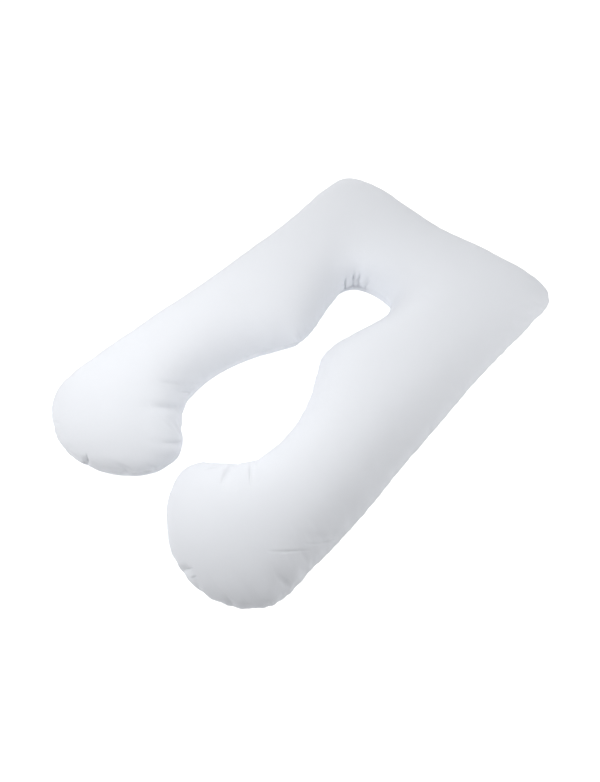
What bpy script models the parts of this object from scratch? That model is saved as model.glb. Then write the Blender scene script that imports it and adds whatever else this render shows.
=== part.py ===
"""A full-body pillow, U-shaped and 1.3 m long: a plain white cotton cover of two equal
panels, sewn together by one seam all round their edge and stuffed into one soft body.

The pillow lies on its back panel. +Y points to its head end, +X to its right arm and
+Z up. The origin is on the surface that it lies on, under the middle of the pillow.
All sizes are in metres.
"""

import math
from collections import namedtuple

import bpy
import numpy as np

# How full the cover is stuffed.
SEAM_HEIGHT = 0.062     # of the seam over the resting surface
FRONT_RISE = 0.80       # height of the front panel over the seam, in swells
BACK_DROP = 0.75        # depth of the back panel under the seam, in swells
LEVELLING = 0.16        # distance from a seam at which a panel begins to level off
RESTING_BLEND = 0.020   # height over which the back panel flattens to where it rests

PANEL_FACES = 14        # faces across a panel, from the inner seam to the outer one
FLAT_AREA = 1e-10       # of a face at a foot's tip, in square metres, that has no width

# One row for each cross-section of an arm, from the middle of the head to the tip of
# the foot: the ends of the right arm's section on the inner and on the outer seam, how
# much farther out (x) and towards the head (y) the left arm's outer seam lies, and the
# number of faces from this section to the next.
Section = namedtuple("Section", "inner_x inner_y outer_x outer_y left_x left_y faces")
SECTIONS = (
    Section(0.000, 0.294, 0.000, 0.611, 0.000, 0.000, 10),
    Section(0.044, 0.290, 0.155, 0.624, 0.000, 0.005, 8),
    Section(0.074, 0.277, 0.300, 0.637, 0.000, 0.002, 7),
    Section(0.085, 0.246, 0.393, 0.612, 0.004, 0.003, 6),
    Section(0.083, 0.205, 0.406, 0.500, 0.002, 0.000, 5),
    Section(0.071, 0.162, 0.402, 0.370, -0.003, 0.000, 5),
    Section(0.054, 0.096, 0.398, 0.240, -0.009, 0.000, 5),
    Section(0.042, 0.036, 0.400, 0.119, -0.010, 0.000, 4),
    Section(0.045, -0.011, 0.402, -0.002, -0.010, 0.000, 3),
    Section(0.068, -0.059, 0.402, -0.081, -0.008, 0.000, 3),
    Section(0.104, -0.126, 0.404, -0.150, -0.008, 0.000, 3),
    Section(0.133, -0.206, 0.408, -0.220, -0.007, 0.000, 4),
    Section(0.141, -0.287, 0.410, -0.300, -0.005, 0.000, 4),
    Section(0.128, -0.364, 0.408, -0.389, -0.001, 0.000, 5),
    Section(0.086, -0.411, 0.405, -0.459, 0.001, 0.000, 4),
    Section(0.037, -0.446, 0.404, -0.521, 0.002, 0.000, 4),
    Section(0.020, -0.486, 0.390, -0.566, 0.004, -0.002, 4),
    Section(0.034, -0.541, 0.353, -0.610, 0.006, -0.005, 5),
    Section(0.081, -0.595, 0.315, -0.634, 0.004, -0.007, 6),
    Section(0.157, -0.640, 0.280, -0.645, 0.000, -0.007, 6),
    Section(0.231, -0.653, 0.231, -0.653, 0.000, -0.004, 0),
)

# One row for each pucker along the seam: the arm and the seam that it starts on, where
# it starts as a number of sections from the head's middle, how far it runs up and down
# the panels, its half width, its depth (a ridge's is negative), and how far it leans
# towards the foot for each metre that it runs.
Pucker = namedtuple("Pucker", "arm seam section length half_width depth lean")
PUCKERS = (
    # gathers round the head end of the slot
    Pucker("left", "inner", 2.80, 0.060, 0.007, 0.007, 0.0),
    Pucker("left", "inner", 2.05, 0.070, 0.007, 0.009, 0.0),
    Pucker("left", "inner", 1.45, 0.060, 0.007, 0.008, 0.0),
    Pucker("left", "inner", 0.86, 0.050, 0.007, 0.006, 0.0),
    Pucker("left", "inner", 0.40, 0.045, 0.007, 0.005, 0.0),
    Pucker("right", "inner", 1.20, 0.050, 0.009, 0.004, 0.0),
    Pucker("right", "inner", 2.30, 0.050, 0.010, 0.004, 0.0),
    # the neck, where the arms come closest
    Pucker("left", "inner", 7.80, 0.045, 0.009, 0.005, 0.0),
    Pucker("right", "inner", 7.60, 0.040, 0.010, 0.004, 0.0),
    # the turn from the belly opening to the feet
    Pucker("left", "inner", 12.80, 0.060, 0.010, 0.005, 0.0),
    Pucker("left", "inner", 13.60, 0.110, 0.012, 0.007, 0.0),
    Pucker("left", "inner", 15.30, 0.070, 0.012, 0.005, 0.0),
    Pucker("right", "inner", 13.20, 0.120, 0.010, 0.006, 0.0),
    Pucker("right", "inner", 13.80, 0.120, 0.010, 0.007, 0.0),
    Pucker("right", "inner", 14.40, 0.080, 0.010, 0.005, 0.0),
    # the left foot's round end
    Pucker("left", "inner", 16.30, 0.050, 0.010, 0.004, 0.0),
    Pucker("left", "inner", 19.00, 0.050, 0.011, 0.006, 0.0),
    Pucker("left", "outer", 19.70, 0.040, 0.012, 0.003, 0.0),
    Pucker("left", "outer", 18.30, 0.045, 0.012, 0.003, 0.0),
    # the right foot's round end
    Pucker("right", "inner", 18.20, 0.040, 0.012, 0.003, 0.0),
    Pucker("right", "inner", 19.60, 0.055, 0.012, 0.005, 0.0),
    Pucker("right", "outer", 19.00, 0.045, 0.012, 0.004, 0.0),
    Pucker("right", "outer", 16.80, 0.060, 0.013, 0.004, 0.0),
    Pucker("right", "outer", 15.30, 0.060, 0.013, 0.004, 0.0),
    # slanting creases on the right arm's outer flank
    Pucker("right", "outer", 12.90, 0.100, 0.010, 0.005, 0.9),
    Pucker("right", "outer", 13.60, 0.140, 0.010, 0.005, 0.9),
    # small tucks in the arms' outer seam
    Pucker("left", "outer", 5.80, 0.060, 0.012, 0.004, 0.0),
    Pucker("right", "outer", 8.00, 0.060, 0.012, 0.004, 0.0),
    # shallow waves behind the head's seam
    Pucker("left", "outer", 1.00, 0.130, 0.030, 0.004, 0.0),
    Pucker("right", "outer", 0.50, 0.120, 0.030, 0.003, 0.0),
    Pucker("right", "outer", 1.60, 0.140, 0.030, 0.005, 0.0),
)

ARM_SIDES = {"left": -1, "right": 1}
FACES = [section.faces for section in SECTIONS[:-1]]


def curve_through(keys, before, after, faces):
    """Points of a smooth curve through the keys, with faces[i] steps after keys[i]."""
    posts = np.array([before, *keys, after], dtype=float)
    runs = np.diff(posts, axis=0)
    gaps = np.sqrt(np.linalg.norm(runs, axis=1))[:, None]
    slopes = runs / gaps
    tangents = (slopes[:-1] * gaps[1:] + slopes[1:] * gaps[:-1]) / (gaps[:-1] + gaps[1:])
    points = []
    for i, count in enumerate(faces):
        start, end, gap = posts[i + 1], posts[i + 2], gaps[i + 1]
        for f in np.arange(count) / count:
            points.append(start * (1 + 2 * f) * (1 - f) ** 2 + end * f ** 2 * (3 - 2 * f)
                          + gap * f * (1 - f) * (tangents[i] * (1 - f) - tangents[i + 1] * f))
    points.append(posts[-2])
    return np.array(points)


def arm_keys(arm):
    """The ends of an arm's sections on the inner and the outer seam, from the head."""
    side = ARM_SIDES[arm]
    left = float(arm == "left")
    outer = [(side * (s.outer_x + left * s.left_x), s.outer_y + left * s.left_y)
             for s in SECTIONS]
    inner = [(side * s.inner_x, s.inner_y) for s in SECTIONS[:-1]] + outer[-1:]
    return inner, outer


def seam_curves():
    """The inner and the outer seam, from the left foot's tip to the right foot's."""
    left_inner, left_outer = arm_keys("left")
    right_inner, right_outer = arm_keys("right")
    inner = left_inner[::-1] + right_inner[1:]
    outer = left_outer[::-1] + right_outer[1:]
    faces = FACES[::-1] + FACES
    return (curve_through(inner, outer[1], outer[-2], faces),
            curve_through(outer, inner[1], inner[-2], faces))


def panel_grid(inner, outer):
    """A panel's plan points, one row for each section, closest together at the seams."""
    turns = np.linspace(0, math.pi, PANEL_FACES + 1)
    shares = (1 - np.cos(turns)) / 2
    return inner[:, None] + (outer - inner)[:, None] * shares[None, :, None]


def swell_of(plan):
    """How far a stuffed panel stands out from the seam, over its grid of plan points.

    The cover is a skin under even pressure, held at the seam and stiff enough to level
    off in its wide parts. Its swell is the root of the skin's height.
    """
    rows, columns = plan.shape[:2]
    points = plan.reshape(-1, 2)
    index = np.arange(rows * columns).reshape(rows, columns)
    a, b, c, d = index[:-1, :-1], index[:-1, 1:], index[1:, 1:], index[1:, :-1]
    triangles = np.concatenate([np.stack(t, axis=-1).reshape(-1, 3)
                                for t in ((a, b, c), (a, c, d), (a, b, d), (b, c, d))])
    corners = points[triangles]
    edges = np.roll(corners, 1, axis=1) - np.roll(corners, -1, axis=1)
    areas = np.abs(edges[:, 0, 0] * edges[:, 1, 1] - edges[:, 0, 1] * edges[:, 1, 0]) / 2
    whole = areas > FLAT_AREA
    triangles, edges, areas = triangles[whole], edges[whole], areas[whole]
    skin = np.zeros((len(points), len(points)))
    load = np.zeros(len(points))
    for i in range(3):
        np.add.at(load, triangles[:, i], 2 * areas / 3)
        np.add.at(skin, (triangles[:, i], triangles[:, i]), areas / 3 / LEVELLING ** 2)
        for j in range(3):
            pull = (edges[:, i] * edges[:, j]).sum(axis=1) / (4 * areas)
            np.add.at(skin, (triangles[:, i], triangles[:, j]), pull)
    free = index[1:-1, 1:-1].ravel()
    height = np.zeros(len(points))
    height[free] = np.linalg.solve(skin[np.ix_(free, free)], load[free])
    return np.sqrt(height).reshape(rows, columns)


def resting(height):
    """A height of the back panel, with what would lie under the surface flat on it."""
    blend = (height + RESTING_BLEND) ** 2 / (4 * RESTING_BLEND)
    return np.where(height < -RESTING_BLEND, 0,
                    np.where(height > RESTING_BLEND, height, blend))


def run_of(seam):
    """The length along a seam curve at each of its points."""
    return np.concatenate([[0], np.linalg.norm(np.diff(seam, axis=0), axis=1).cumsum()])


def pucker_depths(panel, seams):
    """How deep the puckers draw the cloth in, over a panel's grid of points."""
    depths = np.zeros(panel.shape[:2])
    sections = np.concatenate([[0], np.cumsum(FACES)])
    middle = len(panel) // 2
    for pucker in PUCKERS:
        side = ARM_SIDES[pucker.arm]
        seam = seams[pucker.seam]
        run = run_of(seam)
        row = middle + side * np.interp(pucker.section, np.arange(len(sections)), sections)
        start = np.interp(row, np.arange(len(run)), run)
        away = np.linalg.norm(panel - seam[:, None], axis=2)
        aside = side * (run - start)[:, None] - pucker.lean * away
        share = np.minimum(away / pucker.length, 1)
        fade = (1 - share) ** 2 * (1 + 2 * share)
        depths += pucker.depth * np.exp(-(aside / pucker.half_width) ** 2) * fade
    return depths


def skin_faces(rings, around):
    """Faces of a skin of rings of points, closed by one point before and one after."""
    faces = []
    last = 1 + rings * around
    for j in range(around):
        k = (j + 1) % around
        faces.append((0, 1 + j, 1 + k))
        faces.append((last, last - around + k, last - around + j))
        for ring in range(1, last - around, around):
            faces.append((ring + j, ring + around + j, ring + around + k, ring + k))
    return faces


def around_arm(front, back):
    """The front panel's values and then the back's, in rings that pass each seam once."""
    rings = np.concatenate([front, back[:, -2:0:-1]], axis=1)
    inside = rings[1:-1].reshape(-1, *rings.shape[2:])
    return np.concatenate([rings[:1, 0], inside, rings[-1:, 0]])


def pillow_mesh():
    """The stuffed cover as one closed skin: rings round the arms, a point at each foot."""
    inner, outer = seam_curves()
    plan = panel_grid(inner, outer)
    swell = swell_of(plan)
    front = np.dstack([plan, SEAM_HEIGHT + FRONT_RISE * swell])
    back = np.dstack([plan, resting(SEAM_HEIGHT - BACK_DROP * swell)])
    seams = {"inner": front[:, 0], "outer": front[:, -1]}
    skin = around_arm(front, back)
    depths = around_arm(pucker_depths(front, seams), pucker_depths(back, seams))

    mesh = bpy.data.meshes.new("body_pillow")
    mesh.from_pydata(skin.tolist(), [], skin_faces(len(plan) - 2, 2 * PANEL_FACES))
    mesh.update()
    normals = np.array([vertex.normal for vertex in mesh.vertices])
    drawn = skin - normals * depths[:, None]
    drawn[:, 2] = np.where(skin[:, 2] > 0, np.maximum(drawn[:, 2], 0), 0)
    drawn[:, :2] -= (drawn[:, :2].min(axis=0) + drawn[:, :2].max(axis=0)) / 2
    mesh.vertices.foreach_set("co", drawn.ravel())
    mesh.shade_smooth()
    mesh.update()
    return mesh


def white_cotton():
    """The cover's plain white cloth."""
    material = bpy.data.materials.new("white_cotton")
    material.use_nodes = True
    cloth = material.node_tree.nodes["Principled BSDF"]
    cloth.inputs["Base Color"].default_value = (0.86, 0.87, 0.90, 1.0)
    cloth.inputs["Roughness"].default_value = 0.85
    cloth.inputs["Metallic"].default_value = 0.0
    return material


def main():
    for old in list(bpy.data.objects):
        bpy.data.objects.remove(old)
    collection = bpy.data.collections.new("Body pillow")
    bpy.context.scene.collection.children.link(collection)
    pillow = bpy.data.objects.new("body_pillow", pillow_mesh())
    pillow.data.materials.append(white_cotton())
    collection.objects.link(pillow)


main()
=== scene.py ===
"""The looks of a U-shaped body pillow: a plain white cotton cover of two equal panels,
sewn edge to edge round a soft filling. It lies on its back panel on a pale floor.

The cover is one padded piece. Its shape comes from the seam's outline and from how full
it is stuffed, it is blown up as cloth, and then its creases are drawn in. The folds that
are too sharp for its faces are in the cotton, as relief and as painted shade.
"""

import math
from collections import namedtuple

import bpy
import numpy as np
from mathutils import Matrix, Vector


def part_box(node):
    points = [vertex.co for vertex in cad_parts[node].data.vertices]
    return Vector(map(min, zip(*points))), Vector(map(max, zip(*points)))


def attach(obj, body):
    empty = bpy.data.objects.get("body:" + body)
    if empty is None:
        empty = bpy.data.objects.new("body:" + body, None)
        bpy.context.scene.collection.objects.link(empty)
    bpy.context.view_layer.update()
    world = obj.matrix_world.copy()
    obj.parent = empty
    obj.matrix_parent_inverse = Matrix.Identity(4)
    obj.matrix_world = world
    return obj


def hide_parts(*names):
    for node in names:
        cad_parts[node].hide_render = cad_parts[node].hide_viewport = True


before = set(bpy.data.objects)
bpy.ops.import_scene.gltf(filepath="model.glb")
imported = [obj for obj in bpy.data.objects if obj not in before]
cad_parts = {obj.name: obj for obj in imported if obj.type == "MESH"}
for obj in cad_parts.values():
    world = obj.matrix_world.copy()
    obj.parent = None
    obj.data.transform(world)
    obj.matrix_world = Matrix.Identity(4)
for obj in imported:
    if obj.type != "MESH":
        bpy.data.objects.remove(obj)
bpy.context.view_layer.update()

NODE = "body_pillow"

# ---------------------------------------------------------------- sizes, in metres

SEAM_HEIGHT = 0.062      # of the seam over the resting surface
FRONT_RISE = 0.77        # height of the front panel over the seam, in swells, not yet blown up
BACK_DROP = 0.82         # depth of the back panel under the seam, in swells
LEVELLING = 0.16         # distance from a seam at which a panel begins to level off
RESTING_BLEND = 0.020    # height over which the back panel flattens to where it rests
RESTING = 1e-5           # the cloth this low rests on the surface
NO_LENGTH = 1e-9         # a length too short to divide by
NO_AREA = 1e-12          # an area too small to divide by
SECTIONS_SHIFT = 0.0095  # towards the head, from the solid's middle to the sections' zero

ROW_SPLIT = 2            # rows of faces for each one that a section's row asks for
PANEL_FACES = 28         # faces across a panel, from the inner seam to the outer one
SEAM_CROWDING = 0.65     # from 0 to 1, how much closer together faces lie at the seams

# The cloth that is blown up: the weight of each of its points in kg, and its stiffnesses
# and the pressure of its stuffing in Blender's own measures.
COTTON_WEIGHT = 0.2
COTTON_STRETCHING = 15
COTTON_SHEARING = 5
COTTON_BENDING = 0.3
STUFFING_PRESSURE = 3.5
CUT_LARGER = 0.006       # share by which the panels are cut larger than they lie
GATHERED_LARGER = 0.035  # share by which they are larger where the seam gathers them
GATHER_REACH = 0.075     # how far from a seam its gathers run
SEWN_WIDTH = 0.0005      # a point this near to a seam is held by it
TIP_REACH = 0.045        # the cloth this near to a foot's tip, along the seam, moves less
FARTHEST_MOVE = 0.006    # that blowing up may move a point of the cover
BLOWING_FRAMES = 20
BLOWING_STEPS = 6        # in each frame

EASED_WIDTH = 0.020      # the folds this near to a seam are eased open
EASING = 0.5             # how far each round eases them
EASING_ROUNDS = 3

CREASED_BACK = 0.6       # depth of a crease on the back panel, as a share of the front's
CREASED_SEAM = 0.20      # depth of a crease at the seam that it starts on, as a share

# The sewn edge's groove and puckers, the lumps of the filling and the seed of both.
SEWN_EDGE = {
    "Groove Depth": 0.0012,
    "Groove Width": 0.0030,
    "Pucker Depth": 0.0030,
    "Pucker Spacing": 0.022,
    "Pucker Reach": 0.030,
    "Lump Height": 0.0015,
    "Lump Size": 0.11,
    "Seed": 4.0,
}
LIFTED = 0.030           # height at which the lumps of the filling show in full

NOISE_MIDDLE = 0.5       # what a noise node's values lie round

THREAD_PITCH = 0.0007
WEAVE_HEIGHT = 0.5       # of the threads' crossings, as a share of a slub's height
WEAVE_RELIEF = 0.25      # share of half a thread's pitch that shows as relief
SLUB_SPACING = 0.0025
SLUB_STRETCH = 0.06      # how much more slowly a slub changes along its thread than across
SLUB_DETAIL = 2.0
CRINKLE_SIZE = 0.030
CRINKLE_DEPTH = 0.0020
CRINKLE_RELIEF = 0.30    # share of that depth that shows
CRINKLE_DETAIL = 4.0
CRINKLE_TWIST = 0.6
WASH_SIZE = 0.15         # of the patches that the wash left whiter
WASH_DETAIL = 2.0
WASH_SHARE = 0.6         # of the wash in the cotton's tone, against its slubs
COTTON_SHADE = (0.830, 0.852, 0.893, 1.0)
COTTON_WHITE = (0.852, 0.872, 0.912, 1.0)
# painted shade that darkens the cotton's colour in the sharp folds
PAINTED_FOLD_SHADE = (0.28, 0.30, 0.34, 1.0)
ROUGHNESS = 0.82
SLUB_ROUGHNESS = 0.12    # that a slub adds
COTTON_GLOSS = 0.25
FUZZ = 0.12
FUZZ_ROUGHNESS = 0.5

# One row for each cross-section of an arm, from the middle of the head to the tip of
# the foot: the ends of the right arm's section on the inner and on the outer seam, how
# much farther out (x) and towards the head (y) the left arm's outer seam lies, and the
# number of rows of faces from this section to the next.
Section = namedtuple("Section", "inner_x inner_y outer_x outer_y left_x left_y faces")
SECTIONS = (
    Section(0.000, 0.294, 0.000, 0.613, 0.000, 0.000, 10),
    Section(0.044, 0.290, 0.155, 0.627, 0.000, 0.003, 8),
    Section(0.074, 0.277, 0.300, 0.641, 0.000, -0.001, 7),
    Section(0.085, 0.246, 0.397, 0.616, 0.001, -0.001, 6),
    Section(0.083, 0.205, 0.409, 0.500, 0.001, 0.000, 5),
    Section(0.071, 0.162, 0.405, 0.370, -0.004, 0.000, 5),
    Section(0.052, 0.096, 0.401, 0.240, -0.009, 0.000, 5),
    Section(0.040, 0.036, 0.403, 0.119, -0.008, 0.000, 4),
    Section(0.043, -0.011, 0.405, -0.002, -0.010, 0.000, 3),
    Section(0.068, -0.059, 0.406, -0.081, -0.009, 0.000, 3),
    Section(0.104, -0.126, 0.408, -0.150, -0.008, 0.000, 3),
    Section(0.131, -0.206, 0.412, -0.220, -0.007, 0.000, 4),
    Section(0.139, -0.287, 0.413, -0.300, -0.007, 0.000, 5),
    Section(0.125, -0.362, 0.411, -0.389, -0.002, 0.000, 6),
    Section(0.082, -0.409, 0.407, -0.459, 0.001, 0.000, 5),
    Section(0.038, -0.446, 0.407, -0.521, 0.001, 0.000, 5),
    Section(0.022, -0.486, 0.394, -0.566, 0.001, 0.002, 5),
    Section(0.037, -0.537, 0.357, -0.607, 0.002, -0.001, 6),
    Section(0.081, -0.590, 0.319, -0.628, 0.001, -0.003, 6),
    Section(0.155, -0.636, 0.284, -0.642, -0.001, -0.004, 6),
    Section(0.230, -0.650, 0.230, -0.650, 0.000, -0.004, 0),
)
ARM_SIDES = {"left": -1, "right": 1}
FACES = [ROW_SPLIT * section.faces for section in SECTIONS[:-1]]

# One row for each crease: the arm and the seam that it starts on, where it starts as a
# number of sections from the head's middle, how far it runs from the seam over both
# panels, its half width along the seam, its depth (a ridge's is negative), how far it
# leans towards the foot for each metre that it runs, and the distance from the seam at
# which it is deepest. A ridge is highest at the seam itself.
Crease = namedtuple("Crease", "arm seam section length half_width depth lean deepest")
CREASES = (
    # gathers round the head end of the slot, and the hollow that they run into
    Crease("left", "inner", 3.50, 0.030, 0.0050, 0.0030, 0.0, 0.010),
    Crease("left", "inner", 3.02, 0.036, 0.0034, 0.0095, 0.0, 0.010),
    Crease("left", "inner", 2.18, 0.050, 0.0036, 0.0085, 0.0, 0.012),
    Crease("left", "inner", 1.62, 0.040, 0.0038, 0.0080, 0.0, 0.010),
    Crease("left", "inner", 0.85, 0.042, 0.0055, 0.0050, 0.0, 0.012),
    Crease("left", "inner", 2.20, 0.016, 0.0300, 0.0030, 0.0, 0.005),
    # the fuller cloth beside them
    Crease("left", "inner", 1.30, 0.080, 0.0090, -0.0020, -0.2, 0.030),
    Crease("right", "inner", 2.30, 0.060, 0.0280, -0.0080, 0.0, 0.020),
    Crease("left", "inner", 4.40, 0.060, 0.0360, -0.0085, 0.0, 0.020),
    # the neck, where the arms come closest
    Crease("left", "inner", 7.80, 0.045, 0.0060, 0.0060, 0.0, 0.014),
    Crease("left", "inner", 7.90, 0.050, 0.0180, -0.0055, 0.0, 0.020),
    Crease("left", "inner", 5.20, 0.040, 0.0060, 0.0030, 0.0, 0.014),
    # the turn from the belly opening to the left foot
    Crease("left", "inner", 12.10, 0.150, 0.0110, 0.0040, 1.0, 0.070),
    Crease("left", "inner", 12.48, 0.080, 0.0090, 0.0060, 0.8, 0.020),
    Crease("left", "inner", 13.17, 0.180, 0.0110, 0.0085, 0.8, 0.045),
    Crease("left", "inner", 13.05, 0.050, 0.0220, -0.0045, 0.0, 0.020),
    Crease("left", "inner", 14.92, 0.095, 0.0085, 0.0060, 0.7, 0.025),
    Crease("left", "inner", 16.15, 0.060, 0.0180, 0.0050, 0.3, 0.022),
    # the turn from the belly opening to the right foot
    Crease("right", "inner", 12.55, 0.210, 0.0075, 0.0070, 0.62, 0.100),
    Crease("right", "inner", 13.25, 0.190, 0.0080, 0.0085, 0.71, 0.085),
    # the left foot's round end
    Crease("left", "inner", 17.90, 0.030, 0.0050, 0.0030, 0.0, 0.010),
    Crease("left", "inner", 18.60, 0.060, 0.0700, 0.0050, 0.0, 0.018),
    Crease("left", "inner", 19.25, 0.075, 0.0070, 0.0110, -0.95, 0.020),
    Crease("left", "outer", 19.70, 0.040, 0.0060, 0.0035, 0.0, 0.014),
    Crease("left", "outer", 18.30, 0.045, 0.0070, 0.0035, 0.0, 0.014),
    # the right foot's round end
    Crease("right", "inner", 19.70, 0.140, 0.0070, 0.0070, -0.85, 0.045),
    Crease("right", "outer", 19.50, 0.070, 0.0070, 0.0050, -0.6, 0.030),
    Crease("right", "outer", 18.05, 0.060, 0.0300, -0.0035, 0.0, 0.020),
    Crease("right", "outer", 18.40, 0.055, 0.0120, 0.0030, 0.0, 0.020),
    Crease("right", "outer", 17.60, 0.055, 0.0120, 0.0040, 0.0, 0.020),
    Crease("right", "outer", 16.50, 0.110, 0.0150, 0.0065, 0.0, 0.045),
    Crease("right", "outer", 15.15, 0.110, 0.0220, 0.0075, 0.0, 0.040),
    # a slanting crease on the right arm's outer flank
    Crease("right", "outer", 12.44, 0.110, 0.0130, 0.0040, 1.0, 0.035),
    # small tucks in the outer seam
    Crease("left", "outer", 5.80, 0.060, 0.0070, 0.0025, 0.0, 0.014),
    Crease("right", "outer", 8.00, 0.060, 0.0070, 0.0030, 0.0, 0.014),
    Crease("right", "outer", 3.05, 0.040, 0.0060, 0.0110, 0.0, 0.006),
    # a shallow dent in the right arm's outer flank
    Crease("right", "outer", 12.10, 0.160, 0.0300, 0.0045, 0.0, 0.080),
    # shallow waves behind the head's seam
    Crease("left", "outer", 1.00, 0.130, 0.0300, 0.0040, 0.0, 0.020),
    Crease("right", "outer", 0.50, 0.120, 0.0300, 0.0030, 0.0, 0.020),
    Crease("right", "outer", 1.60, 0.140, 0.0300, 0.0050, 0.0, 0.020),
)

# One row for each fold that is too sharp for the cover's faces: the arm and the seam that
# its places are measured from, its two ends (each a number of sections from the head's
# middle and a distance from the seam, negative on the back panel), its half width, its
# depth, and how dark its painted shade is, from 0 to 1.
Fold = namedtuple("Fold", "arm seam start end half_width depth shade")
FOLDS = (
    # gathers round the head end of the slot, in relief and painted shade, and a painted shadow
    # under its edge
    Fold("left", "inner", (3.05, 0.022), (2.90, -0.030), 0.0020, 0.0012, 0.30),
    Fold("left", "inner", (2.19, 0.036), (2.04, -0.034), 0.0020, 0.0010, 0.14),
    Fold("left", "inner", (1.74, 0.024), (1.50, -0.030), 0.0020, 0.0010, 0.10),
    Fold("left", "inner", (0.68, 0.024), (1.06, -0.028), 0.0028, 0.0010, 0.16),
    # a painted shadow alone, with no relief, under the slot's edge
    Fold("left", "inner", (4.20, -0.024), (0.60, -0.024), 0.0080, 0.0000, 0.42),
    # the turn from the belly opening to the left foot
    Fold("left", "inner", (12.42, -0.010), (12.97, 0.045), 0.0026, 0.0012, 0.050),
    Fold("left", "inner", (13.10, -0.005), (14.55, 0.110), 0.0045, 0.0016, 0.016),
    Fold("left", "inner", (12.50, 0.030), (13.40, 0.102), 0.0045, 0.0012, 0.010),
    Fold("left", "inner", (14.80, 0.000), (15.80, 0.056), 0.0030, 0.0010, 0.016),
    # the turn from the belly opening to the right foot
    Fold("right", "inner", (13.95, 0.058), (14.98, 0.138), 0.0040, 0.0020, 0.050),
    Fold("right", "inner", (14.42, 0.066), (15.30, 0.074), 0.0035, 0.0012, 0.040),
    Fold("right", "inner", (13.26, 0.068), (13.98, 0.150), 0.0022, 0.0014, 0.025),
    # the feet's round ends
    Fold("left", "inner", (18.45, 0.072), (19.36, -0.016), 0.0020, 0.0012, 0.50),
    Fold("right", "outer", (19.20, 0.070), (18.42, 0.093), 0.0018, 0.0010, 0.25),
    Fold("right", "outer", (19.20, 0.049), (18.55, 0.072), 0.0018, 0.0010, 0.25),
    # the right arm's outer flank
    Fold("right", "outer", (12.70, 0.014), (13.70, 0.074), 0.0032, 0.0012, 0.020),
    Fold("right", "outer", (13.58, 0.052), (14.95, 0.117), 0.0028, 0.0010, 0.020),
)


# ---------------------------------------------------------------- the cover's form

def curve_through(keys, before, after, faces):
    """Points of a smooth curve through the keys, with faces[i] steps after keys[i]."""
    posts = np.array([before, *keys, after], dtype=float)
    runs = np.diff(posts, axis=0)
    gaps = np.sqrt(np.linalg.norm(runs, axis=1))[:, None]
    slopes = runs / gaps
    tangents = (slopes[:-1] * gaps[1:] + slopes[1:] * gaps[:-1]) / (gaps[:-1] + gaps[1:])
    points = []
    for i, count in enumerate(faces):
        start, end, gap = posts[i + 1], posts[i + 2], gaps[i + 1]
        for f in np.arange(count) / count:
            points.append(start * (1 + 2 * f) * (1 - f) ** 2 + end * f ** 2 * (3 - 2 * f)
                          + gap * f * (1 - f) * (tangents[i] * (1 - f) - tangents[i + 1] * f))
    points.append(posts[-2])
    return np.array(points)


def arm_keys(arm):
    """The ends of an arm's sections on the inner and the outer seam, from the head."""
    side = ARM_SIDES[arm]
    left = float(arm == "left")
    outer = [(side * (s.outer_x + left * s.left_x), s.outer_y + left * s.left_y)
             for s in SECTIONS]
    inner = [(side * s.inner_x, s.inner_y) for s in SECTIONS[:-1]] + outer[-1:]
    return inner, outer


def seam_curves():
    """The inner and the outer seam, from the left foot's tip to the right foot's."""
    left_inner, left_outer = arm_keys("left")
    right_inner, right_outer = arm_keys("right")
    inner = left_inner[::-1] + right_inner[1:]
    outer = left_outer[::-1] + right_outer[1:]
    faces = FACES[::-1] + FACES
    return (curve_through(inner, outer[1], outer[-2], faces),
            curve_through(outer, inner[1], inner[-2], faces))


def panel_grid(inner, outer):
    """A panel's plan points, one row for each section, closest together at the seams."""
    steps = np.linspace(0, 1, PANEL_FACES + 1)
    turns = math.pi * steps - SEAM_CROWDING / 2 * np.sin(2 * math.pi * steps)
    shares = (1 - np.cos(turns)) / 2
    return inner[:, None] + (outer - inner)[:, None] * shares[None, :, None]


def swell_of(plan):
    """How far a stuffed panel stands out from the seam, over its grid of plan points.

    The cover is a skin under even pressure, held at the seam and stiff enough to level
    off in its wide parts. Its swell is the root of the skin's height. A point of the
    grid only pulls on its own row and the next ones, so the rows are solved in turn.
    """
    rows, columns = plan.shape[:2]
    points = plan.reshape(-1, 2)
    index = np.arange(rows * columns).reshape(rows, columns)
    a, b, c, d = index[:-1, :-1], index[:-1, 1:], index[1:, 1:], index[1:, :-1]
    triangles = np.concatenate([np.stack(t, axis=-1).reshape(-1, 3)
                                for t in ((a, b, c), (a, c, d), (a, b, d), (b, c, d))])
    corners = points[triangles]
    edges = np.roll(corners, 1, axis=1) - np.roll(corners, -1, axis=1)
    areas = np.abs(edges[:, 0, 0] * edges[:, 1, 1] - edges[:, 0, 1] * edges[:, 1, 0]) / 2
    whole = areas > NO_AREA
    triangles, edges, areas = triangles[whole], edges[whole], areas[whole]
    within = np.zeros((rows, columns, columns))
    onward = np.zeros((rows, columns, columns))
    load = np.zeros((rows, columns))
    for i in range(3):
        row_i, column_i = np.divmod(triangles[:, i], columns)
        np.add.at(load, (row_i, column_i), 2 * areas / 3)
        np.add.at(within, (row_i, column_i, column_i), areas / 3 / LEVELLING ** 2)
        for j in range(3):
            row_j, column_j = np.divmod(triangles[:, j], columns)
            pull = (edges[:, i] * edges[:, j]).sum(axis=1) / (4 * areas)
            for same, blocks in ((row_j == row_i, within), (row_j == row_i + 1, onward)):
                np.add.at(blocks, (row_i[same], column_i[same], column_j[same]), pull[same])
    within, onward = within[1:-1, 1:-1, 1:-1], onward[1:-1, 1:-1, 1:-1]
    load = load[1:-1, 1:-1].copy()
    within = within.copy()
    for row in range(1, len(load)):
        carry = np.linalg.solve(within[row - 1], onward[row - 1]).T
        within[row] -= carry @ onward[row - 1]
        load[row] -= carry @ load[row - 1]
    height = np.zeros((rows, columns))
    after = np.zeros(columns - 2)
    for row in range(len(load) - 1, -1, -1):
        after = np.linalg.solve(within[row], load[row] - onward[row] @ after)
        height[row + 1, 1:-1] = after
    return np.sqrt(np.maximum(height, 0))


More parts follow.
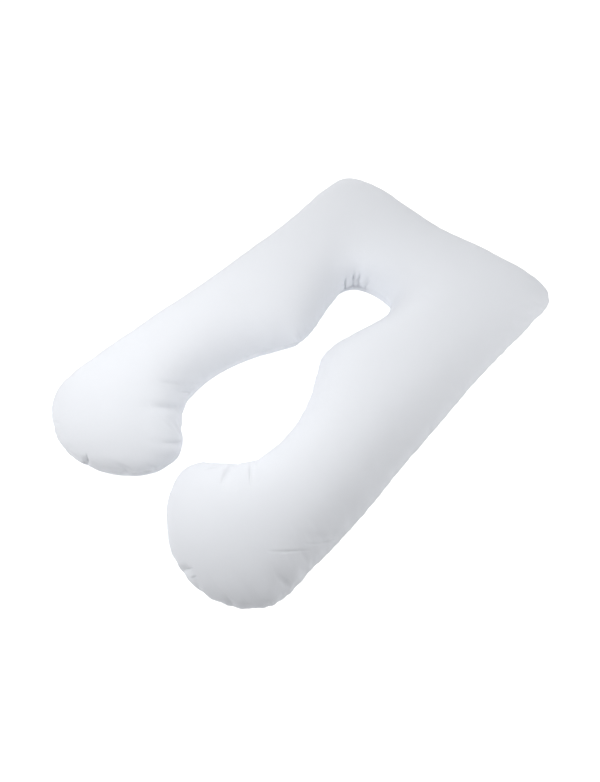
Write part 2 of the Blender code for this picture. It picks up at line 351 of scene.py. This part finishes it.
def resting(height):
    """A height of the back panel, with what would lie under the surface flat on it."""
    blend = (height + RESTING_BLEND) ** 2 / (4 * RESTING_BLEND)
    return np.where(height < -RESTING_BLEND, 0,
                    np.where(height > RESTING_BLEND, height, blend))


def skin_faces(rings, around):
    """Faces of a skin of rings of points, closed by one point before and one after."""
    faces = []
    last = 1 + rings * around
    for j in range(around):
        k = (j + 1) % around
        faces.append((0, 1 + j, 1 + k))
        faces.append((last, last - around + k, last - around + j))
        for ring in range(1, last - around, around):
            faces.append((ring + j, ring + around + j, ring + around + k, ring + k))
    return faces


def around_arm(front, back):
    """The front panel's values and then the back's, in rings that pass each seam once."""
    rings = np.concatenate([front, back[:, -2:0:-1]], axis=1)
    inside = rings[1:-1].reshape(-1, *rings.shape[2:])
    return np.concatenate([rings[:1, 0], inside, rings[-1:, 0]])


def run_of(seam):
    """The length along a seam curve at each of its points."""
    return np.concatenate([[0], np.linalg.norm(np.diff(seam, axis=0), axis=1).cumsum()])


def store(mesh, name, values):
    """Keeps a number for each point of a mesh under a name."""
    attribute = mesh.attributes.new(name, "FLOAT", "POINT")
    attribute.data.foreach_set("value", np.asarray(values, dtype=np.float32))


def stored(mesh, name):
    """The number that is kept under a name, for each point of a mesh."""
    values = np.zeros(len(mesh.vertices), dtype=np.float32)
    mesh.attributes[name].data.foreach_get("value", values)
    return values.astype(float)


def places(mesh):
    """Where each point of a mesh is."""
    points = np.zeros(3 * len(mesh.vertices), dtype=np.float32)
    mesh.vertices.foreach_get("co", points)
    return points.reshape(-1, 3).astype(float)


def move_to(mesh, points):
    """Puts the points of a mesh in new places."""
    mesh.vertices.foreach_set("co", points.ravel().astype(np.float32))
    mesh.update()


def flat_cut(panel):
    """Where each point of a panel lay on the flat cloth that the panel was cut from."""
    steps = np.linalg.norm(np.diff(panel, axis=1), axis=2)
    run = np.concatenate([np.zeros((len(panel), 1)), steps.cumsum(axis=1)], axis=1)
    run -= run[:, -1:] / 2
    ends = panel[:, -1, :2] - panel[:, 0, :2]
    middle = (panel[:, -1, :2] + panel[:, 0, :2]) / 2
    length = np.linalg.norm(ends, axis=1, keepdims=True)
    across = np.divide(ends, length, out=np.zeros_like(ends), where=length > NO_LENGTH)
    return middle[:, None] + across[:, None] * run[:, :, None]


def lay_grain(mesh, front, back):
    """Adds a UV map in metres of flat cloth, so that the weave runs true on both panels."""
    rows = len(front)
    cuts = np.stack([flat_cut(front), flat_cut(back)])
    columns = 2 * PANEL_FACES
    grain = mesh.uv_layers.new(name="cloth_grain").data
    for face in mesh.polygons:
        places_in_rings = [(vertex - 1) % columns for vertex in face.vertices
                           if 0 < vertex <= (rows - 2) * columns]
        on_back = max(places_in_rings) > PANEL_FACES or (
            0 in places_in_rings and max(places_in_rings) > 1)
        for corner, vertex in zip(face.loop_indices, face.vertices):
            if vertex == 0 or vertex > (rows - 2) * columns:
                row, column = (0 if vertex == 0 else rows - 1), PANEL_FACES // 2
            else:
                row, column = divmod(vertex - 1, columns)
                row += 1
                if column > PANEL_FACES or (column == 0 and on_back):
                    column = (columns - column) % columns
            grain[corner].uv = cuts[int(on_back), row, column]


def cover_mesh():
    """The stuffed cover as one closed skin, with each point's place by the seams.

    run_inner and run_outer are the lengths along the two seams at the point's section,
    and away_inner and away_outer the straight distances to the section's two ends. The
    swell is negative on the back panel.
    """
    inner, outer = seam_curves()
    plan = panel_grid(inner, outer)
    swell = swell_of(plan)
    front = np.dstack([plan, SEAM_HEIGHT + FRONT_RISE * swell])
    back = np.dstack([plan, resting(SEAM_HEIGHT - BACK_DROP * swell)])
    skin = around_arm(front, back)
    mesh = bpy.data.meshes.new("cover")
    mesh.from_pydata(skin.tolist(), [], skin_faces(len(plan) - 2, 2 * PANEL_FACES))
    for name, seam, ends in (("inner", inner, front[:, :1]), ("outer", outer, front[:, -1:])):
        run = np.repeat(run_of(seam)[:, None], PANEL_FACES + 1, axis=1)
        store(mesh, "run_" + name, around_arm(run, run))
        store(mesh, "away_" + name, around_arm(np.linalg.norm(front - ends, axis=2),
                                               np.linalg.norm(back - ends, axis=2)))
    store(mesh, "swell", around_arm(swell, -swell))
    lay_grain(mesh, front, back)
    mesh.shade_smooth()
    mesh.update()
    return mesh


def run_at(arm, seam, section):
    """How far along a seam, from the left foot's tip, a section of an arm lies."""
    inner, outer = seam_curves()
    run = run_of(inner if seam == "inner" else outer)
    sections = np.concatenate([[0], np.cumsum(FACES)])
    row = sections[-1] + ARM_SIDES[arm] * np.interp(section, np.arange(len(sections)), sections)
    return float(np.interp(row, np.arange(len(run)), run))


def crease_depths(mesh):
    """How deep the creases draw the cloth in at each point of the cover."""
    depths = np.zeros(len(mesh.vertices))
    on_panel = np.where(stored(mesh, "swell") < 0, CREASED_BACK, 1)
    for crease in CREASES:
        start = run_at(crease.arm, crease.seam, crease.section)
        away = stored(mesh, "away_" + crease.seam)
        run = ARM_SIDES[crease.arm] * (stored(mesh, "run_" + crease.seam) - start)
        aside = run - crease.lean * away
        share = np.minimum(away / crease.length, 1)
        fade = (1 - share) ** 2 * (1 + 2 * share)
        at_seam = CREASED_SEAM if crease.depth > 0 else 1.0
        fade *= at_seam + (1 - at_seam) * np.minimum(away / crease.deepest, 1)
        depths += crease.depth * np.exp(-(aside / crease.half_width) ** 2) * fade * on_panel
    return depths


def normals_of(mesh):
    """The way that the cloth faces at each point of a mesh."""
    normals = np.zeros(3 * len(mesh.vertices), dtype=np.float32)
    mesh.vertices.foreach_get("normal", normals)
    return normals.reshape(-1, 3).astype(float)


def move_above_surface(mesh, before, points):
    """Moves the cover's points, but none under the surface or off it where it rests."""
    points[:, 2] = np.where(before[:, 2] > RESTING, np.maximum(points[:, 2], 0), 0)
    move_to(mesh, points)


def draw_in(mesh, depths):
    """Moves each point of the cover inwards, but not off the surface that it rests on."""
    before = places(mesh)
    move_above_surface(mesh, before, before - normals_of(mesh) * depths[:, None])


def lay_on_frame(mesh):
    """Moves the cover from the sections' own middle to the CAD solid's."""
    low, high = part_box(NODE)
    middle = (Vector(low) + Vector(high)) / 2
    points = places(mesh)
    points[:, :2] += (middle.x, middle.y + SECTIONS_SHIFT)
    move_to(mesh, points)


def keep_modified(thing):
    """Makes what a thing's modifiers give its plain mesh."""
    depsgraph = bpy.context.evaluated_depsgraph_get()
    mesh = bpy.data.meshes.new_from_object(thing.evaluated_get(depsgraph))
    thing.modifiers.clear()
    thing.data = mesh


def seam_distance(mesh):
    """How far each point of the cover is from the nearer of its section's two ends."""
    return np.minimum(stored(mesh, "away_inner"), stored(mesh, "away_outer"))


def weigh(group, shares):
    """Gives each point its share in a vertex group."""
    for point, share in enumerate(np.clip(shares, 0, 1)):
        if share > 0:
            group.add([point], share, "REPLACE")


def blow_up(cover):
    """Blows the cover up as cloth from inside, held along the seam.

    The panels are cut a little larger than they lie, so they pucker where the seam
    gathers them. Nothing moves farther than the filling lets it.
    """
    scene = bpy.context.scene
    before = places(cover.data)
    away = seam_distance(cover.data)
    held = cover.vertex_groups.new(name="sewn edge")
    weigh(held, away < SEWN_WIDTH)
    level = cover.vertex_groups.new(name="level cloth")
    weigh(level, away / GATHER_REACH)
    cloth = cover.modifiers.new("Stuffed cotton", "CLOTH")
    cotton = cloth.settings
    cotton.quality = BLOWING_STEPS
    cotton.mass = COTTON_WEIGHT
    cotton.tension_stiffness = COTTON_STRETCHING
    cotton.compression_stiffness = COTTON_STRETCHING
    cotton.shear_stiffness = COTTON_SHEARING
    cotton.bending_stiffness = COTTON_BENDING
    cotton.vertex_group_mass = held.name
    cotton.use_pressure = True
    cotton.uniform_pressure_force = STUFFING_PRESSURE
    cotton.vertex_group_shrink = level.name
    cotton.shrink_min = -GATHERED_LARGER
    cotton.shrink_max = -CUT_LARGER
    cotton.effector_weights.gravity = 0
    cloth.collision_settings.use_collision = False
    cloth.point_cache.frame_end = BLOWING_FRAMES
    for moment in range(1, BLOWING_FRAMES + 1):
        scene.frame_set(moment)
    keep_modified(cover)
    moved = places(cover.data) - before
    far = np.linalg.norm(moved, axis=1, keepdims=True)
    run = stored(cover.data, "run_outer")
    from_tips = np.minimum(run, run.max() - run)
    let_go = np.clip(from_tips / TIP_REACH, 0, 1)[:, None] ** 2
    held_back = FARTHEST_MOVE * np.tanh(far / FARTHEST_MOVE) / np.maximum(far, NO_LENGTH)
    move_above_surface(cover.data, before, before + moved * held_back * let_go)
    scene.frame_set(1)


def split_faces(cover):
    """Splits each face of the cover in four, smoothly."""
    finer = cover.modifiers.new("Finer cloth", "SUBSURF")
    finer.levels = 1
    finer.render_levels = 1
    keep_modified(cover)


def ease_at_seam(cover):
    """Opens the tightest folds where the two panels meet at the seam."""
    near = cover.vertex_groups.new(name="near seam")
    weigh(near, 1 - seam_distance(cover.data) / EASED_WIDTH)
    ease = cover.modifiers.new("Eased folds", "SMOOTH")
    ease.factor = EASING
    ease.iterations = EASING_ROUNDS
    ease.vertex_group = near.name
    keep_modified(cover)


# ---------------------------------------------------------------- nodes

MIX_FIRST = 6            # the colour sockets among a Mix node's inputs
MIX_SECOND = 7
MIX_COLOUR = 2           # and the one among its outputs


class Wire:
    """An output in a node tree. Arithmetic on it adds Math nodes to the tree."""

    def __init__(self, tree, socket=None):
        self.tree = tree
        self.socket = socket

    def node(self, kind, settings=None, inputs=None, output=0):
        """Adds a node with its settings, then the values or links of its sockets."""
        node = self.tree.nodes.new(kind)
        for name, setting in (settings or {}).items():
            setattr(node, name, setting)
        for name, value in (inputs or {}).items():
            if isinstance(value, Wire):
                self.tree.links.new(value.socket, node.inputs[name])
            else:
                node.inputs[name].default_value = value
        return Wire(self.tree, node.outputs[output])

    def maths(self, operation, *values):
        return self.node("ShaderNodeMath", {"operation": operation}, dict(enumerate(values)))

    def mixed(self, first, second):
        """A colour between two, as this output goes from 0 to 1."""
        return self.node("ShaderNodeMix", {"data_type": "RGBA"},
                         {"Factor": self, MIX_FIRST: first, MIX_SECOND: second},
                         output=MIX_COLOUR)

    def __add__(self, other):
        return self.maths("ADD", self, other)

    def __radd__(self, other):
        return self.maths("ADD", other, self)

    def __sub__(self, other):
        return self.maths("SUBTRACT", self, other)

    def __rsub__(self, other):
        return self.maths("SUBTRACT", other, self)

    def __mul__(self, other):
        return self.maths("MULTIPLY", self, other)

    def __rmul__(self, other):
        return self.maths("MULTIPLY", other, self)

    def __truediv__(self, other):
        return self.maths("DIVIDE", self, other)

    def __rtruediv__(self, other):
        return self.maths("DIVIDE", other, self)

    def __pow__(self, other):
        return self.maths("POWER", self, other)

    def least(self, other):
        return self.maths("MINIMUM", self, other)

    def most(self, other):
        return self.maths("MAXIMUM", self, other)

    def power_of_e(self):
        return self.maths("EXPONENT", self)

    def sign(self):
        return self.maths("SIGN", self)

    def unsigned(self):
        return self.maths("ABSOLUTE", self)

    def sine(self):
        return self.maths("SINE", self)

    def part(self, output):
        """Another output of the same node."""
        return Wire(self.tree, self.socket.node.outputs[output])


# ---------------------------------------------------------------- the sewn edge

def sewn_edge_tree():
    """A tree that draws the seam in and puckers the cloth along it, over a lumpy filling."""
    tree = bpy.data.node_groups.new("sewn_edge", "GeometryNodeTree")
    tree.interface.new_socket("Cover", in_out="INPUT", socket_type="NodeSocketGeometry")
    for name in SEWN_EDGE:
        tree.interface.new_socket(name, in_out="INPUT", socket_type="NodeSocketFloat")
    tree.interface.new_socket("Cotton", in_out="INPUT", socket_type="NodeSocketMaterial")
    tree.interface.new_socket("Cover", in_out="OUTPUT", socket_type="NodeSocketGeometry")
    given = Wire(tree).node("NodeGroupInput")

    drawn_in = 0.0
    for number, seam in enumerate(("inner", "outer")):
        run, away = (given.node("GeometryNodeInputNamedAttribute", {"data_type": "FLOAT"},
                                {"Name": f"{what}_{seam}"}) for what in ("run", "away"))
        across = away / given.part("Groove Width")
        groove = given.part("Groove Depth") / (1 + across ** 2) ** 2
        pucker_place = (run / given.part("Pucker Spacing")
                        + given.part("Seed") * (number + 1))
        pucker = given.node("ShaderNodeTexNoise", {"noise_dimensions": "1D"},
                            {"W": pucker_place, "Scale": 1.0, "Detail": 1.0})
        fade = 1 - (away / given.part("Pucker Reach")).least(1.0)
        puckered = given.part("Pucker Depth") * (pucker - NOISE_MIDDLE) * fade ** 2
        drawn_in = drawn_in + groove + puckered
    place = given.node("GeometryNodeInputPosition")
    height = given.node("ShaderNodeSeparateXYZ", inputs={"Vector": place}, output="Z")
    lump = given.node("ShaderNodeTexNoise", {"noise_dimensions": "4D"},
                      {"Vector": place, "W": given.part("Seed"), "Detail": 1.0,
                       "Scale": 1 / given.part("Lump Size")})
    raised = (lump - NOISE_MIDDLE) * 2 * given.part("Lump Height") * (height / LIFTED).least(1.0)
    normal = given.node("GeometryNodeInputNormal")
    offset = given.node("ShaderNodeVectorMath", {"operation": "SCALE"},
                        {"Vector": normal, "Scale": raised - drawn_in})
    cover = given.node("GeometryNodeSetPosition",
                       inputs={"Geometry": given.part("Cover"), "Offset": offset})
    cover = given.node("GeometryNodeRealizeInstances", inputs={"Geometry": cover})
    cover = given.node("GeometryNodeSetMaterial",
                       inputs={"Geometry": cover, "Material": given.part("Cotton")})
    tree.links.new(cover.socket, tree.nodes.new("NodeGroupOutput").inputs["Cover"])
    return tree


def sew(cover, cotton):
    """Gives the cover its seam's groove, its puckers and its cotton."""
    edge = cover.modifiers.new("Sewn edge", "NODES")
    edge.node_group = sewn_edge_tree()
    sockets = {item.name: item.identifier for item in edge.node_group.interface.items_tree
               if item.in_out == "INPUT"}
    for name, size in SEWN_EDGE.items():
        edge[sockets[name]] = size
    edge[sockets["Cotton"]] = cotton
    before = places(cover.data)
    keep_modified(cover)
    move_above_surface(cover.data, before, places(cover.data))


# ---------------------------------------------------------------- looks

def sharp_folds(tree):
    """How deep the sharp folds are at each point of the cloth, and how dark their painted shade
    is.
    """
    def kept(name):
        return tree.node("ShaderNodeAttribute", {"attribute_name": name}, output="Fac")

    panel = kept("swell").sign()
    places_on = {seam: (kept("run_" + seam), kept("away_" + seam) * panel)
                 for seam in ("inner", "outer")}
    depth = shade = 0.0
    for fold in FOLDS:
        run, away = places_on[fold.seam]
        first, last = (run_at(fold.arm, fold.seam, end[0]) for end in (fold.start, fold.end))
        long, high = last - first, fold.end[1] - fold.start[1]
        length = math.hypot(long, high)
        run, away = run - first, away - fold.start[1]
        # along goes from -1 to 1 between the fold's ends, aside is 1 at its half width
        along = run * (2 * long / length ** 2) + away * (2 * high / length ** 2) - 1.0
        aside = (run * (high / length) - away * (long / length)) / fold.half_width
        share = (1.0 - along * along).most(0.0) * (0.0 - aside * aside).power_of_e()
        depth = depth + share * fold.depth
        # the fold's painted shade, darker towards its middle line
        shade = shade + share * fold.shade
    return depth, shade


def white_cotton():
    """Bleached plain-woven cotton, washed and softly creased, with painted shade in its sharp
    folds.
    """
    material = bpy.data.materials.new("white_cotton")
    material.use_nodes = True
    cloth = material.node_tree.nodes["Principled BSDF"]
    grain = Wire(material.node_tree).node("ShaderNodeUVMap", {"uv_map": "cloth_grain"})
    across = grain.node("ShaderNodeSeparateXYZ", inputs={"Vector": grain})
    along = across.part("Y")
    turns = 2 * math.pi / THREAD_PITCH
    weave = (across * turns).sine() * (along * turns).sine()
    warp, weft = (grain.node("ShaderNodeTexNoise", inputs={
        "Vector": grain.node("ShaderNodeMapping", inputs={"Vector": grain, "Scale": stretch}),
        "Scale": 1 / SLUB_SPACING, "Detail": SLUB_DETAIL})
        for stretch in ((1, SLUB_STRETCH, 1), (SLUB_STRETCH, 1, 1)))
    crinkle = grain.node("ShaderNodeTexNoise", inputs={
        "Vector": grain, "Scale": 1 / CRINKLE_SIZE, "Detail": CRINKLE_DETAIL,
        "Distortion": CRINKLE_TWIST})
    wash = grain.node("ShaderNodeTexNoise", inputs={
        "Vector": grain.node("ShaderNodeTexCoord", output="Object"),
        "Scale": 1 / WASH_SIZE, "Detail": WASH_DETAIL})
    slubs = (warp + weft) / 2
    depth, shade = sharp_folds(grain)
    folded = grain.node("ShaderNodeBump", inputs={
        "Strength": 1.0, "Distance": 1.0, "Height": 0.0 - depth})
    threads = grain.node("ShaderNodeBump", inputs={
        "Strength": WEAVE_RELIEF, "Distance": THREAD_PITCH / 2,
        "Height": weave * WEAVE_HEIGHT + slubs, "Normal": folded})
    creased = grain.node("ShaderNodeBump", inputs={
        "Strength": CRINKLE_RELIEF, "Distance": CRINKLE_DEPTH, "Height": crinkle,
        "Normal": threads})
    tone = (wash * WASH_SHARE + slubs * (1 - WASH_SHARE)).least(1.0)
    # the cotton's random tone, darkened with painted shade along the sharp folds
    colour = shade.mixed(tone.mixed(COTTON_SHADE, COTTON_WHITE), PAINTED_FOLD_SHADE)
    links = material.node_tree.links
    links.new(colour.socket, cloth.inputs["Base Color"])
    links.new((ROUGHNESS + slubs * SLUB_ROUGHNESS).socket, cloth.inputs["Roughness"])
    links.new(creased.socket, cloth.inputs["Normal"])
    cloth.inputs["Specular IOR Level"].default_value = COTTON_GLOSS
    cloth.inputs["Sheen Weight"].default_value = FUZZ
    cloth.inputs["Sheen Roughness"].default_value = FUZZ_ROUGHNESS
    return material


# ---------------------------------------------------------------- the scene

def make_cover():
    """The padded cover, shaped, creased, sewn and lying where the solid lies."""
    cover = bpy.data.objects.new("pillow_cover", cover_mesh())
    bpy.context.scene.collection.objects.link(cover)
    blow_up(cover)
    split_faces(cover)
    ease_at_seam(cover)
    draw_in(cover.data, crease_depths(cover.data))
    sew(cover, white_cotton())
    lay_on_frame(cover.data)
    return cover


FRAME_SIZE = (600, 782)
SENSOR = 36.0           # millimetres
CAMERA_AZIMUTH = math.radians(42.83)
CAMERA_ELEVATION = math.radians(58.14)
CAMERA_TARGET = Vector((0.079, -0.1255, 0.080))
CAMERA_DISTANCE = 1.401
CAMERA_FOCAL = 532.2    # pixels of the frame

FLOOR_SIZE = 30.0
FLOOR_GAP = 0.0005      # by which the cover lies clear of the floor
FLOOR_PAPER = (0.86, 0.86, 0.87, 1.0)
FLOOR_GLOW = 0.24
FLOOR_BLEACH = 0.60     # further glow that only the camera sees
STUDIO_GLOW = 1.08      # of the studio's walls at floor height
BLACK = (0.0, 0.0, 0.0, 1.0)
WHITE = (1.0, 1.0, 1.0, 1.0)

# One row for each softbox: its name, its turn in degrees from the camera's left towards
# the back, its elevation in degrees, its distance from the lit point, its diameter and
# its watts.
Softbox = namedtuple("Softbox", "name turn elevation distance size power")
SOFTBOXES = (
    Softbox("overhead", 0, 70, 1.1, 0.6, 3.15),
    Softbox("key", 0, 45, 2.0, 1.0, 16.45),
    Softbox("back", 90, 15, 2.0, 1.0, 6.95),
    Softbox("fill", 180, 45, 2.0, 1.0, 13.25),
)
LIT_POINT = Vector((0.08, -0.10, 0.08))


def make_camera():
    """The camera that the object is shown from."""
    back = Vector((math.sin(CAMERA_AZIMUTH) * math.cos(CAMERA_ELEVATION),
                   -math.cos(CAMERA_AZIMUTH) * math.cos(CAMERA_ELEVATION),
                   math.sin(CAMERA_ELEVATION)))
    data = bpy.data.cameras.new("camera")
    data.sensor_width = SENSOR
    data.lens = CAMERA_FOCAL / max(FRAME_SIZE) * SENSOR
    camera = bpy.data.objects.new("camera", data)
    bpy.context.scene.collection.objects.link(camera)
    camera.location = CAMERA_TARGET + back * CAMERA_DISTANCE
    camera.rotation_euler = back.to_track_quat("Z", "Y").to_euler()
    bpy.context.scene.camera = camera


def pale_floor():
    """A pale floor, lit from below as in a light tent, that the camera sees as white."""
    material = bpy.data.materials.new("pale_floor")
    material.use_nodes = True
    tree = material.node_tree
    tree.nodes.remove(tree.nodes["Principled BSDF"])
    paper = Wire(tree).node("ShaderNodeBsdfDiffuse", inputs={"Color": FLOOR_PAPER})
    glow, bleach = (paper.node("ShaderNodeEmission", inputs={"Strength": strength})
                    for strength in (FLOOR_GLOW, FLOOR_BLEACH))
    lit = paper.node("ShaderNodeAddShader", inputs={0: paper, 1: glow})
    bleached = paper.node("ShaderNodeAddShader", inputs={0: lit, 1: bleach})
    seen = paper.node("ShaderNodeLightPath", output="Is Camera Ray")
    floor = paper.node("ShaderNodeMixShader", inputs={0: seen, 1: lit, 2: bleached})
    tree.links.new(floor.socket, tree.nodes["Material Output"].inputs["Surface"])
    return material


def make_floor():
    """The floor that the pillow lies on."""
    bpy.ops.mesh.primitive_plane_add(size=FLOOR_SIZE, location=(0, 0, -FLOOR_GAP))
    floor = bpy.context.object
    floor.name = "floor"
    floor.data.materials.append(pale_floor())


def studio_walls():
    """A world that is bright at floor height and dark overhead."""
    world = bpy.data.worlds.new("studio")
    bpy.context.scene.world = world
    world.use_nodes = True
    tree = world.node_tree
    direction = Wire(tree).node("ShaderNodeTexCoord", output="Generated")
    height = direction.node("ShaderNodeSeparateXYZ", inputs={"Vector": direction}, output="Z")
    wall = (1 - height.unsigned()) ** 2
    glow = wall.mixed(BLACK, WHITE)
    sky = tree.nodes["Background"]
    tree.links.new(glow.socket, sky.inputs["Color"])
    sky.inputs["Strength"].default_value = STUDIO_GLOW


def make_lights():
    """The studio's walls and its round softboxes."""
    studio_walls()
    for box in SOFTBOXES:
        turned = CAMERA_AZIMUTH + math.pi - math.radians(box.turn)
        lifted = math.radians(box.elevation)
        towards = Vector((math.cos(turned) * math.cos(lifted),
                          math.sin(turned) * math.cos(lifted), math.sin(lifted)))
        data = bpy.data.lights.new(box.name, "AREA")
        data.shape = "DISK"
        data.size = box.size
        data.energy = box.power
        light = bpy.data.objects.new(box.name, data)
        bpy.context.scene.collection.objects.link(light)
        light.location = LIT_POINT + towards * box.distance
        light.rotation_euler = towards.to_track_quat("Z", "Y").to_euler()
    bpy.context.scene.view_settings.view_transform = "Standard"


make_camera()
make_floor()
make_lights()
cover = make_cover()
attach(cover, "root")
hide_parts(NODE)
